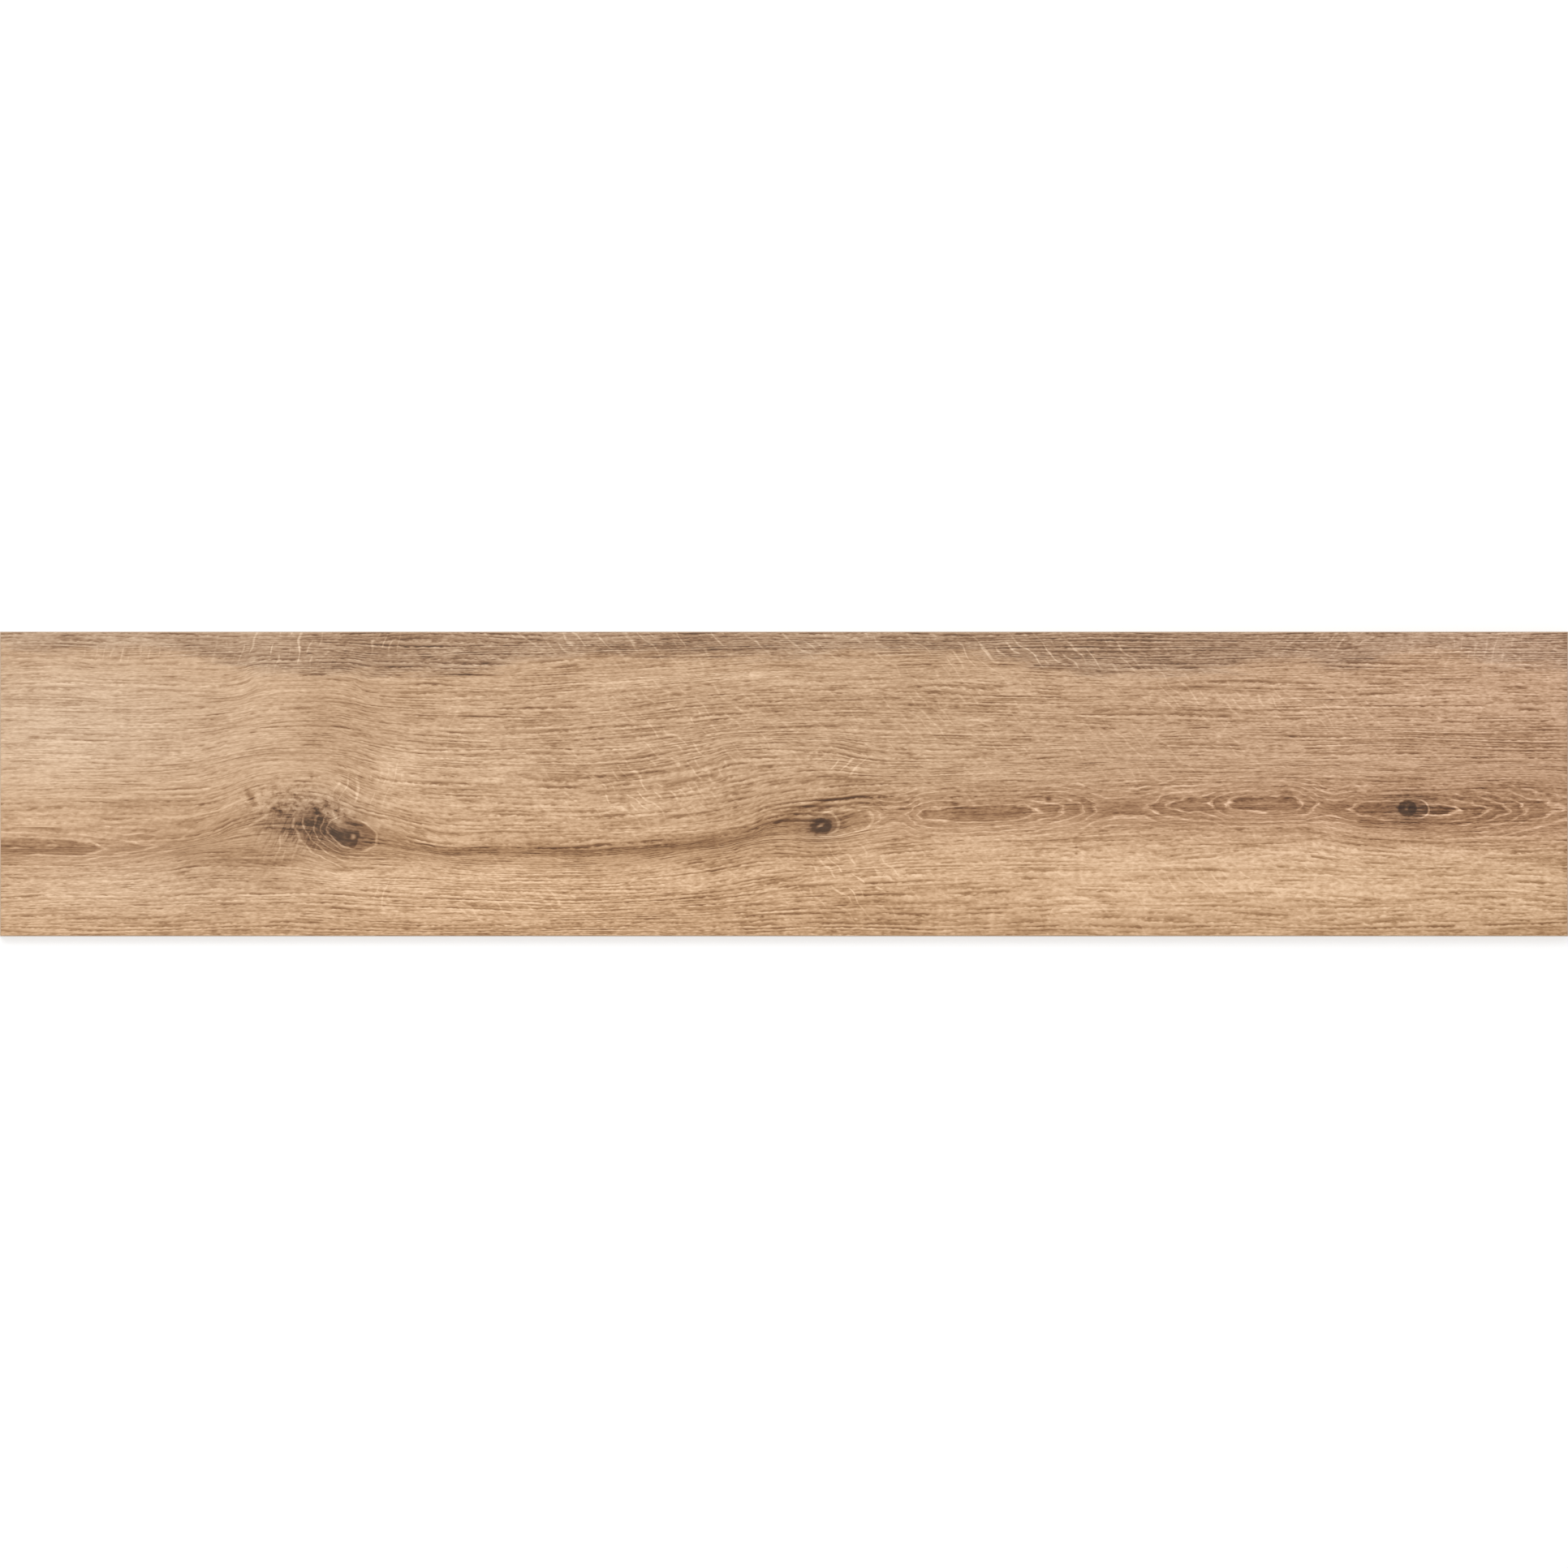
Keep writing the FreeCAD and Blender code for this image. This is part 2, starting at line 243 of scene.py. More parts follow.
# Where the rays of the wood are cut along and flash pale. Each kind has the way that its flecks
# run, in degrees, how much they show all over, and the places where they show more: middle x and
# y, reach along and across, and how much.
RAY_FLECKS = {
    "steep flecks": (104, 0.06, [
        (350, 795, 62, 24, 1.6), (472, 792, 26, 16, 1.2), (436, 974, 34, 17, 1.2),
        (492, 955, 20, 30, 0.5), (476, 1100, 16, 28, 0.8), (565, 905, 14, 34, 0.5),
        (160, 805, 60, 9, 0.7), (1820, 800, 90, 18, 0.6), (345, 1035, 30, 30, 0.7),
    ]),
    "falling flecks": (46, 0.22, [
        (700, 790, 130, 15, 0.8), (930, 790, 130, 15, 0.9), (1200, 800, 110, 18, 0.8),
        (1330, 806, 90, 18, 1), (1440, 850, 60, 26, 0.35), (840, 905, 90, 60, 0.5),
        (1052, 1082, 46, 34, 1.3), (780, 975, 70, 24, 0.9), (1150, 870, 120, 50, 0.3),
        (1420, 920, 160, 30, 0.25), (620, 1110, 100, 16, 0.5), (560, 1060, 80, 14, 0.4),
        (1600, 870, 120, 30, 0.4), (1500, 1090, 90, 16, 0.4),
    ]),
    "rising flecks": (-47, 0.06, [
        (1040, 940, 38, 20, 1.1), (1650, 792, 80, 16, 0.9), (1480, 900, 60, 40, 0.3),
    ]),
}
# The three knots, with the ring and the lens round the second and the twin of the third: middle x
# and y, reach along and across, and tilt.
KNOTS = {
    "first knot": (433, 1027, 32, 18, 20),
    "second knot": (1012, 1019, 13, 10.5, -20),
    "second knot ring": (1012, 1014, 22, 14, 0),
    "second knot lens": (1034, 1014, 43, 16, -8),
    "third knot": (1734, 996, 11.5, 10.5, 0),
    "third knot twin": (1747, 997, 12.5, 10.5, 0),
}
# The burled wood and the torn wood beside the first knot, given in the same way.
BURL = (356, 988, 54, 22, 0)
BURL_BY_KNOT = (410, 1002, 22, 14, 0)
TORN_WOOD = (362, 1026, 42, 22, 0)

# What the tones of the oak look like, from the darkest knot to the palest fleck: the warm wood, and
# the greyer wood of the upper band and the knots. Each is named by its middle channel.
WARM_OAK = [
    (30, (60, 42, 30)), (50, (72, 51, 36)), (75, (105, 75, 54)), (105, (143, 105, 75)),
    (135, (175, 136, 100)), (160, (199, 160, 123)), (185, (222, 184, 147)), (210, (246, 210, 174)),
]
GREY_OAK = [
    (30, (56, 48, 41)), (50, (68, 57, 48)), (75, (96, 77, 63)), (105, (136, 105, 82)),
    (135, (167, 135, 108)), (160, (190, 160, 133)), (185, (213, 185, 157)), (210, (238, 211, 184)),
]
# What the oak's colour is multiplied by where it is rosy.
ROSE = (1, 0.957, 0.985, 1)
# The body of the tile, from the brown of the fire to white kiln wash.
PORCELAIN = [
    (110, (143, 112, 86)), (145, (176, 146, 119)), (175, (206, 177, 150)), (200, (225, 202, 178)),
    (230, (241, 231, 217)),
]
# The tone of the calm wood.
CALM_TONE = 162
# How much white the sheen adds to a lit surface, and how much of its own colour it shows.
SHEEN = 0.028
LIT = 0.945
# The finishes: how rough they are, and how the glaze bends light.
GLAZE_ROUGHNESS = 0.57
GROUND_ROUGHNESS = 0.66
BACK_ROUGHNESS = 0.78
GLAZE_IOR = 1.45
# The finishes' bumps, and the depths between which painted shade darkens the back down in its
# cells, in metres.
GRAIN_BUMP = 0.00012
SCORE_BUMP = 0.00006
GRIT_BUMP = 0.00012
PAINTED_CELL_SHADE = (0.0004, 0.0009)

# The studio, in metres and watts.
FLOOR_SIZE = 60
FLOOR_COLOUR = (0.6, 0.6, 0.6, 1)
FLOOR_GLOW = 0.5
WORLD_LIGHT = 0.7
WORLD_SEEN = 1.0
LAMP_PLACE = (-1.2, 1.6, 2.6)
LAMP_SIZE = (2.4, 1.6)
LAMP_POWER = 40
CAMERA_HEIGHT = 3


class Field:
    """A value that varies over the tile: one output in a node tree, with ordinary arithmetic."""

    def __init__(self, drawing, socket):
        self.drawing = drawing
        self.socket = socket

    def __add__(self, other):
        return self.drawing.math("ADD", self, other)

    def __sub__(self, other):
        return self.drawing.math("SUBTRACT", self, other)

    def __rsub__(self, other):
        return self.drawing.math("SUBTRACT", other, self)

    def __mul__(self, other):
        return self.drawing.math("MULTIPLY", self, other)

    def __truediv__(self, other):
        return self.drawing.math("DIVIDE", self, other)

    def __neg__(self):
        return self.drawing.math("MULTIPLY", self, -1.0)


class Drawing:
    """Formulas laid out as nodes, in a material's tree or in a geometry tree."""

    def __init__(self, tree):
        self.tree = tree

    def node(self, kind, **settings):
        node = self.tree.nodes.new(kind)
        for name, value in settings.items():
            setattr(node, name, value)
        return node

    def feed(self, socket, value):
        if isinstance(value, Field):
            self.tree.links.new(value.socket, socket)
        else:
            socket.default_value = value

    def math(self, operation, *terms):
        node = self.node("ShaderNodeMath", operation=operation)
        for socket, term in zip(node.inputs, terms):
            self.feed(socket, term)
        return Field(self, node.outputs[0])

    def ramp(self, value, start, end, soft=True):
        """Rises from 0 at start to 1 at end."""
        way = "SMOOTHSTEP" if soft else "LINEAR"
        node = self.node("ShaderNodeMapRange", interpolation_type=way)
        self.feed(node.inputs["Value"], value)
        self.feed(node.inputs["From Min"], start)
        self.feed(node.inputs["From Max"], end)
        return Field(self, node.outputs["Result"])

    def curve(self, x, points):
        """A smooth curve along the tile, drawn through points."""
        values = [value for _, value in points]
        low, reach = min(values), max(values) - min(values)
        node = self.node("ShaderNodeFloatCurve")
        line = node.mapping.curves[0]
        while len(line.points) < len(points):
            line.points.new(0.5, 0.5)
        for point, (along, value) in zip(line.points, points):
            point.location = (along / PHOTO_SIZE, (value - low) / reach)
            point.handle_type = "AUTO_CLAMPED"
        node.mapping.update()
        self.feed(node.inputs["Value"], x / PHOTO_SIZE)
        return Field(self, node.outputs[0]) * reach + low

    def point(self, *parts):
        node = self.node("ShaderNodeCombineXYZ")
        for socket, part in zip(node.inputs, parts):
            self.feed(socket, part)
        return Field(self, node.outputs[0])

    def split(self, point):
        """The x, y and z of a point."""
        node = self.node("ShaderNodeSeparateXYZ")
        self.feed(node.inputs[0], point)
        return [Field(self, socket) for socket in node.outputs]

    def noise(self, x, y, detail=0.0, roughness=0.5):
        """Soft noise around 0, about a third of a unit either way."""
        return self.noise_at(self.point(x, y), detail, roughness)

    def noise_at(self, place, detail=0.0, roughness=0.5):
        node = self.node("ShaderNodeTexNoise", noise_dimensions="2D")
        self.feed(node.inputs["Vector"], place)
        self.feed(node.inputs["Scale"], 1.0)
        self.feed(node.inputs["Detail"], detail)
        self.feed(node.inputs["Roughness"], roughness)
        return Field(self, node.outputs[0]) - 0.5

    def bell(self, distance):
        """1 at distance 0, falling softly to nothing at about 2."""
        return self.math("EXPONENT", -(distance * distance))

    def oval(self, place, middle_x, middle_y, reach_x, reach_y, tilt=0):
        """A place as an oval sees it, with its own rim at a distance of 1."""
        node = self.node("ShaderNodeMapping", vector_type="TEXTURE")
        self.feed(node.inputs["Vector"], place)
        self.feed(node.inputs["Location"], (middle_x, middle_y, 0))
        self.feed(node.inputs["Rotation"], (0, 0, math.radians(tilt)))
        self.feed(node.inputs["Scale"], (reach_x, reach_y, 1))
        return Field(self, node.outputs[0])

    def mark(self, place, middle_x, middle_y, reach_x, reach_y, tilt):
        """1 in the middle of a soft oval mark, and nothing at twice its reach."""
        oval = self.oval(place, middle_x, middle_y, reach_x * 2, reach_y * 2, tilt)
        node = self.node("ShaderNodeTexGradient", gradient_type="SPHERICAL")
        self.feed(node.inputs["Vector"], oval)
        return self.ramp(Field(self, node.outputs["Fac"]), 0, 0.95)

    def stored(self, name):
        """A value that the geometry tree has stored on the face."""
        return Field(self, self.node("ShaderNodeAttribute", attribute_name=name).outputs["Fac"])

    def add(self, total, share, amount):
        """The total with a share of an amount added."""
        return self.math("MULTIPLY_ADD", share, amount, total)

    def near_whole(self, value):
        """How far a value is from the nearest whole number."""
        return self.math("PINGPONG", value, 0.5)

    def absolute(self, value):
        return self.math("ABSOLUTE", value)

    def greatest(self, one, other):
        return self.math("MAXIMUM", one, other)


def place_on_print(drawing, position):
    """The place on the photograph's frame of a point of the tile."""
    along, across, _ = drawing.split(position)
    return along / METRES_PER_PIXEL + PHOTO_MIDDLE, PHOTO_MIDDLE - across / METRES_PER_PIXEL


def grain(drawing, x, y):
    """The level of the grain at each point, and the distance from the heart line."""
    calm_y = y + drawing.noise(x / 160, y / 30) * 3.2 + drawing.noise(x / 44 + 7.3, y / 12) * 1.1
    lines = {level: drawing.curve(x, points) for level, points in GRAIN_LINES.items()}
    rows = [(TOP_ROW, TOP_ROW), *lines.items(), (BOTTOM_ROW, BOTTOM_ROW)]
    level = TOP_ROW
    for (upper_level, upper), (lower_level, lower) in zip(rows, rows[1:]):
        level = drawing.ramp(calm_y, upper, lower, soft=False) * (lower_level - upper_level) + level
    return level, calm_y - lines[HEART_LEVEL]


def rings(drawing, x, off_heart):
    """Counts the rings out from the heart line, where their tips are blunt."""
    spread = (drawing.math("SQRT", off_heart * off_heart + 110.0) - 10.5) / RING_STEP
    below = drawing.curve(x, RINGS_BELOW) - RINGS_BELOW_CALM
    return spread + below * drawing.bell(off_heart / 44) + RINGS_BELOW_CALM


def fibres(drawing, x, level):
    """The long fibres that the press leaves in the relief."""
    return drawing.noise(x / 62, level / 4.4, detail=1.5, roughness=0.6)


def oval_measure():
    """A node group that measures how far a place lies from the middle of an oval."""
    tree = bpy.data.node_groups.new("oval measure", "GeometryNodeTree")
    for name in ("X", "Y", "Middle X", "Middle Y", "Reach X", "Reach Y", "Tilt"):
        tree.interface.new_socket(name, in_out="INPUT", socket_type="NodeSocketFloat")
    for name in ("Distance", "Patch"):
        tree.interface.new_socket(name, in_out="OUTPUT", socket_type="NodeSocketFloat")
    drawing = Drawing(tree)
    start = drawing.node("NodeGroupInput")
    end = drawing.node("NodeGroupOutput")
    x, y, middle_x, middle_y, reach_x, reach_y, tilt = (
        Field(drawing, socket) for socket in start.outputs[:7]
    )
    along, across = x - middle_x, y - middle_y
    cosine, sine = drawing.math("COSINE", tilt), drawing.math("SINE", tilt)
    turned_along = (along * cosine + across * sine) / reach_x
    turned_across = (across * cosine - along * sine) / reach_y
    squared = turned_along * turned_along + turned_across * turned_across
    drawing.feed(end.inputs["Distance"], drawing.math("SQRT", squared))
    drawing.feed(end.inputs["Patch"], drawing.math("EXPONENT", -squared))
    return tree


def map_face(drawing, x, y):
    """What changes slowly over the face, as named values for the material to read."""
    measure = oval_measure()

    def measured(output, middle_x, middle_y, reach_x, reach_y, tilt=0):
        node = drawing.node("GeometryNodeGroup")
        node.node_tree = measure
        terms = (x, y, middle_x, middle_y, reach_x, reach_y, math.radians(tilt))
        for socket, term in zip(node.inputs, terms):
            drawing.feed(socket, term)
        return Field(drawing, node.outputs[output])

    def patched(total, table):
        """The total with each soft patch of a table added."""
        for *oval, change in table:
            total = drawing.add(total, measured("Patch", *oval), change)
        return total

    level, off_heart = grain(drawing, x, y)
    shade = patched(CALM_TONE, PATCHES)
    shade = shade + drawing.noise(x / 130, level / 15, detail=2.0) * 22
    shade = shade + drawing.noise(x / 420, level / 10 + 5.5, detail=2.0) * 16
    dashes = drawing.noise(x / 27 + 2.0, level / 5.5, detail=1.0)
    shade = shade - drawing.ramp(dashes, 0.04, 0.24) * 15
    shade = shade + drawing.ramp(dashes, -0.1, -0.28) * 6 + 2
    foot = drawing.curve(x, BAND_FOOT) + drawing.noise(x / 60, y / 5, detail=1.0) * 22
    band = drawing.ramp(y, foot + 10, foot - 10)
    band_strength = drawing.curve(x, BAND_STRENGTH)
    shade = shade - band * band_strength * 0.7

    busy = drawing.ramp(drawing.noise(x / 60 + 3.0, level / 13, detail=1.5), -0.02, 0.2)
    busy = busy + band * band_strength / 42 + drawing.ramp(y, BOTTOM_ROW - 26, BOTTOM_ROW - 8) * 0.7
    busy = patched(busy, DENSE_LINES)

    warmth = drawing.ramp(y, 900, 1110) * 0.36 + 0.6 - band * 0.5
    warmth = patched(warmth, GREYER_WOOD)

    lower = drawing.ramp(y, 1045, 1085) * (0.2 - drawing.ramp(x, 950, 1350) * 0.32)
    chain = drawing.bell(off_heart / 30) * drawing.greatest(
        drawing.ramp(x, 1040, 1120), drawing.ramp(x, 250, 170) * 0.6
    )
    chain = chain * drawing.ramp(measured("Distance", *KNOTS["third knot"]), 1.1, 2.4)
    values = {
        "level": level,
        "shade": shade,
        "busy": busy,
        "warmth": warmth,
        "slip": drawing.noise(level / 4.1, x / 300) * 80,
        "growth": level / 3.9 + drawing.noise(x / 210, level / 16) * 2.6,
        "rose": drawing.ramp(x, 1150, 1900, soft=False) * drawing.ramp(y, 1080, 1000) + chain * 0.4,
        "calm": drawing.ramp(y, BOTTOM_ROW - 10, BOTTOM_ROW - 30) - band * 0.85,
        "contrast": drawing.curve(x, CONTRAST) + band * 0.25 + lower,
        "streak": off_heart / drawing.curve(x, STREAK_WIDTH),
        "streak strength": drawing.curve(x, STREAK_STRENGTH),
        "chain": chain,
        "ring": rings(drawing, x, off_heart),
    }
    for name, (_, all_over, places) in RAY_FLECKS.items():
        values[name] = patched(drawing.ramp(x, 420, 700) * all_over, places)
    values["burl"] = measured("Patch", *BURL) + measured("Patch", *BURL_BY_KNOT)
    values["torn"] = measured("Patch", *TORN_WOOD)
    for name, oval in KNOTS.items():
        values[name] = measured("Distance", *oval)
    return values


def dark_lines(drawing, x, growth, density):
    """Thin dark lines of the printed grain, which break off where they like. Each has a pale lower
    lip, a painted highlight, and its dark line is partly painted shade: together they stand in for
    a pressed groove lit from above.
    """
    count = drawing.math("FLOOR", growth)
    within = growth - count
    breaks = drawing.noise(x / 30 + count * 13.7, count * 3.1, detail=2.0, roughness=0.6)
    strength = drawing.ramp(breaks + density, -0.16, 0.24)
    line = drawing.ramp(drawing.absolute(within - 0.42), strength * 0.15 + 0.15, 0.03)
    # The lip is a painted highlight along the lower side of each line.
    painted_highlight = drawing.ramp(drawing.absolute(within - 0.84), 0.22, 0.04)
    return strength * (painted_highlight * 0.3 - line)


def ray_flecks(drawing, place):
    """Pale curled flecks where the rays of the wood are cut along."""
    flecks = 0.0
    for name, (way, _, _) in RAY_FLECKS.items():
        turned = drawing.oval(place, 0, 0, 1, 1, way)
        bend = drawing.noise_at(drawing.oval(place, 0, 0, 36, 30, way), detail=1.0)
        broken = drawing.noise_at(drawing.oval(place, 71, 0, 30, 9, way))
        _, across, _ = drawing.split(turned)
        strokes = drawing.near_whole(across / 11 + bend * 1.9)
        shown = drawing.ramp(broken, -0.06, 0.1)
        line = drawing.ramp(strokes, shown * 0.12 + 0.06, 0.03) * shown
        flecks = drawing.add(flecks, line, drawing.stored(name))
    return flecks


def add_knots(drawing, x, y, tone):
    """Adds the three knots, with the rings that are pressed close round the first."""
    ragged = drawing.noise(x / 7, y / 5, detail=1.0) * 0.5
    slight = drawing.noise(x / 16, y / 12) * 0.22

    # Burled and torn wood lies up against the first knot.
    burl = drawing.noise(x / 9, y / 6.5, detail=2.0, roughness=0.6)
    tone = drawing.add(tone, drawing.ramp(burl, -0.04, 0.18) * drawing.stored("burl"), -44)
    tone = drawing.add(tone, drawing.ramp(burl, -0.12, -0.24) * drawing.stored("burl"), 22)
    torn = drawing.noise((x + y * 0.5) / 4.2, (y - x * 0.5) / 22, detail=1.0)
    tone = drawing.add(tone, drawing.ramp(torn, -0.02, 0.2) * drawing.stored("torn"), -38)

    # The first knot leans in a whorl of its own rings, which crowd together under it.
    whorl = drawing.stored("first knot") + slight
    crowd_lines = drawing.near_whole(drawing.math("LOGARITHM", whorl, 1.24))
    below_left = drawing.ramp(x - y * 0.3, 120, 98) * drawing.ramp(y, 996, 1012)
    below_left = below_left * drawing.ramp(whorl, 3.1, 2.1) * drawing.ramp(whorl, 0.95, 1.05)
    tone = drawing.add(tone, drawing.bell(whorl / 1.6) * drawing.ramp(y, 1000, 1016), -20)
    tone = drawing.add(tone, drawing.ramp(whorl, 3.1, 1.5) * below_left, -30)
    tone = drawing.add(tone, drawing.ramp(crowd_lines, 0.16, 0.05) * below_left, 36)
    tone = drawing.add(tone, drawing.ramp(drawing.absolute(whorl - 1.02), 0.08, 0.02), 30)
    core = whorl + ragged * 0.5
    tone = drawing.add(tone, drawing.ramp(core, 1.12, 0.9), -16)
    core = core + drawing.ramp(x, 434, 446) * 0.7
    tone = drawing.add(tone, drawing.ramp(core, 1.05, 0.8) * drawing.ramp(y, 1018, 1028), -42)

    # The second knot is small and black, with a pale mark across it.
    second = drawing.stored("second knot")
    beside = drawing.ramp(x, 1002, 1014)
    inner = drawing.stored("second knot ring") + slight
    outer = drawing.stored("second knot lens") + slight
    tone = drawing.add(tone, drawing.ramp(outer, 1.2, 0.7), -20)
    tone = drawing.add(tone, drawing.ramp(drawing.absolute(outer - 1.0), 0.1, 0.03) * beside, 28)
    tone = drawing.add(tone, drawing.ramp(drawing.absolute(inner - 1.0), 0.12, 0.04) * beside, 30)
    tone = drawing.add(tone, drawing.bell(second / 1.8), -18)
    tone = drawing.add(tone, drawing.ramp(second + ragged, 1.25, 0.8), -50)

    # The third has a twin that leans on it from the right.
    third = drawing.stored("third knot")
    twin = drawing.stored("third knot twin") + slight * 0.6
    tone = drawing.add(tone, drawing.bell(third / 2.4), -18)
    tone = drawing.add(tone, drawing.ramp(third + ragged * 0.3, 1.1, 0.85), -62)
    tone = drawing.add(tone, drawing.ramp(twin, 1.06, 0.92), -24)
    beyond = drawing.ramp(x, 1742, 1751)
    return drawing.add(tone, drawing.ramp(drawing.absolute(twin - 1.08), 0.14, 0.05) * beyond, 44)


def oak_tone(drawing, place, x, y):
    """The tone of the printed oak at each point, and the lie of its fine threads."""
    level, slip, busy = (drawing.stored(name) for name in ("level", "slip", "busy"))
    tone = drawing.stored("shade")
    for *oval, change in MARKS:
        tone = drawing.add(tone, drawing.mark(place, *oval), change)

    comb = drawing.noise((x + slip) / 52 + 11.0, level / 2.6, detail=3.0, roughness=0.68)
    long_lines = drawing.noise(x / 230, level / 3.6 + 40, detail=1.0)
    speck = drawing.noise(x / 7, level / 2.2, detail=1.0)
    blocks = drawing.node("ShaderNodeTexVoronoi", voronoi_dimensions="2D", feature="F1")
    drawing.feed(blocks.inputs["Vector"], drawing.point(x / 52, level / 17))
    drawing.feed(blocks.inputs["Scale"], 1.0)
    block = Field(drawing, blocks.outputs["Color"]) + busy * 0.8
    jagged = comb * 0.55 + speck * 0.5
    growth = drawing.stored("growth")
    near_lines = dark_lines(drawing, x, growth + jagged, block * 0.26 - 0.15)
    far_lines = dark_lines(drawing, x + 900, growth * 0.7 + jagged * 0.7, block * 0.24 - 0.2)
    fine = comb * 41 + speck * 54 - block * 5 + 10

    streak = drawing.stored("streak") + comb * 0.7
    # The printed dark streak along the heart line, darkest in its middle.
    streak_dark = drawing.ramp(drawing.absolute(streak), 1.35, 0.75) * 37
    streak_dark = streak_dark + drawing.bell((streak - 1.6) / 1.5) * 15
    tone = tone - streak_dark * drawing.stored("streak strength")

    chain = drawing.stored("chain")
    sway = drawing.noise(x / 27 + 9.0, y / 8, detail=1.0)
    ripple = drawing.stored("ring") + comb * 0.3 + sway * 0.75
    late_wood = drawing.math("FRACT", ripple)
    tone = tone - (late_wood * late_wood * 30 + drawing.ramp(ripple, 1.1, 0.9) * 8 + 4) * chain
    outline = drawing.ramp(drawing.near_whole(ripple), 0.2, 0.06) * (busy * 1.2 + 0.8)
    tone = drawing.add(tone, outline * chain, 36)

    open_wood = 1.0 - chain * 0.55
    short = drawing.noise(x / 15 + 4.0, level / 1.6, detail=1.0)
    fine = fine + (near_lines * 35 + far_lines * 28) * open_wood
    bands = drawing.ramp(long_lines, 0.06, 0.24) * 20
    bands = bands - drawing.ramp(long_lines, -0.08, -0.26) * 12
    fine = fine - bands * drawing.stored("calm")
    fine = (fine - drawing.ramp(short, 0.1, 0.22) * 20) * drawing.stored("contrast")
    tone = tone + drawing.greatest(fine, fine * 0.5 - 22)

    tone = add_knots(drawing, x, y, tone)
    tone = drawing.greatest(tone, tone * 0.3 + 52)
    return tone + ray_flecks(drawing, place) * 30, comb


def linear(channel):
    """A channel of 0 to 255 as light."""
    share = channel / 255
    return share / 12.92 if share <= 0.04045 else ((share + 0.055) / 1.055) ** 2.4


def paint(red, green, blue):
    """A colour as the photograph shows it, without the white that the surface's sheen adds."""
    return (*(max((linear(channel) - SHEEN) / LIT, 0.004) for channel in (red, green, blue)), 1.0)


def colour_ramp(drawing, value, stops):
    node = drawing.node("ShaderNodeValToRGB")
    ramp = node.color_ramp
    while len(ramp.elements) < len(stops):
        ramp.elements.new(0.5)
    for element, (tone, colour) in zip(ramp.elements, stops):
        element.position = tone / 255
        element.color = paint(*colour)
    drawing.feed(node.inputs["Fac"], value)
    return Field(drawing, node.outputs["Color"])


def mix_colours(drawing, share, one, other, way="MIX"):
    """One colour with a share of another mixed in."""
    node = drawing.node("ShaderNodeMix", data_type="RGBA", blend_type=way)
    colours = [socket for socket in node.inputs if socket.type == "RGBA"]
    drawing.feed(node.inputs["Factor"], share)
    drawing.feed(colours[0], one)
    drawing.feed(colours[1], other)
    return Field(drawing, next(socket for socket in node.outputs if socket.type == "RGBA"))


def empty_material(name):
    material = bpy.data.materials.new(name)
    material.use_nodes = True
    material.node_tree.nodes.clear()
    return material, Drawing(material.node_tree)


def tile_material(name):
    """A material for the tile, with its shader and the place that it is drawn by."""
    material, drawing = empty_material(name)
    shader = drawing.node("ShaderNodeBsdfPrincipled")
    output = drawing.node("ShaderNodeOutputMaterial")
    drawing.tree.links.new(shader.outputs[0], output.inputs["Surface"])
    place = Field(drawing, drawing.node("ShaderNodeTexCoord").outputs["Object"])
    return material, drawing, shader, place


def bump(drawing, shader, height, depth):
    """Roughens a surface: how high it stands, from 0 to 1, and how deep that is in metres."""
    node = drawing.node("ShaderNodeBump")
    drawing.feed(node.inputs["Distance"], depth)
    drawing.feed(node.inputs["Height"], height)
    drawing.feed(shader.inputs["Normal"], Field(drawing, node.outputs[0]))


def printed_oak():
    """The glazed face, printed as oak, with its grain pressed in and a satin glaze."""
    material, drawing, shader, position = tile_material("printed oak")
    x, y = place_on_print(drawing, position)
    corner = PHOTO_MIDDLE * METRES_PER_PIXEL
    place = drawing.oval(position, -corner, corner, METRES_PER_PIXEL, -METRES_PER_PIXEL)
    tone, comb = oak_tone(drawing, place, x, y)
    warm = colour_ramp(drawing, tone / 255, WARM_OAK)
    grey = colour_ramp(drawing, tone / 255, GREY_OAK)
    oak = mix_colours(drawing, drawing.stored("warmth"), grey, warm)
    oak = mix_colours(drawing, drawing.stored("rose"), oak, ROSE, way="MULTIPLY")
    drawing.feed(shader.inputs["Base Color"], oak)

    # The glaze is duller in the dark pores than on the wood between them.
    drawing.feed(shader.inputs["Roughness"], GLAZE_ROUGHNESS - comb * 0.25)
    drawing.feed(shader.inputs["IOR"], GLAZE_IOR)
    grooves = drawing.noise(x / 40, drawing.stored("level") / 2.2, detail=1.5)
    bump(drawing, shader, grooves, GRAIN_BUMP)
    return material


def ground_porcelain():
    """The ground sides and bevels, where the speckled body of the tile shows."""
    material, drawing, shader, position = tile_material("ground porcelain")
    x, y, z = drawing.split(position)
    along = x + y
    cloud = drawing.noise(along * 35, z * 90, detail=2.0)
    speckle = drawing.noise(along * 1900, z * 1900, detail=1.0)
    scores = drawing.noise(along * 9, z * 5200, detail=2.0)
    chatter = drawing.noise(along * 260, z * 60)
    tone = cloud * 26 + scores * 16 + chatter * 6 + 184
    tone = tone - drawing.ramp(speckle, 0.12, 0.24) * 24 + drawing.ramp(speckle, -0.13, -0.22) * 14
    # The bevels are painted paler: a painted highlight for the light that they catch.
    painted_bevel_highlight = drawing.ramp(z, FACE_HEIGHT - 0.0007, FACE_HEIGHT - 0.0005)
    painted_bevel_highlight = drawing.greatest(painted_bevel_highlight, drawing.ramp(z, 0.0005, 0.0003))
    tone = tone + painted_bevel_highlight * 9
    colour = colour_ramp(drawing, tone / 255, PORCELAIN)
    drawing.feed(shader.inputs["Base Color"], colour)
    drawing.feed(shader.inputs["Roughness"], scores * 0.3 + speckle * 0.2 + GROUND_ROUGHNESS)
    bump(drawing, shader, scores * 0.6 + speckle * 0.5, SCORE_BUMP)
    return material


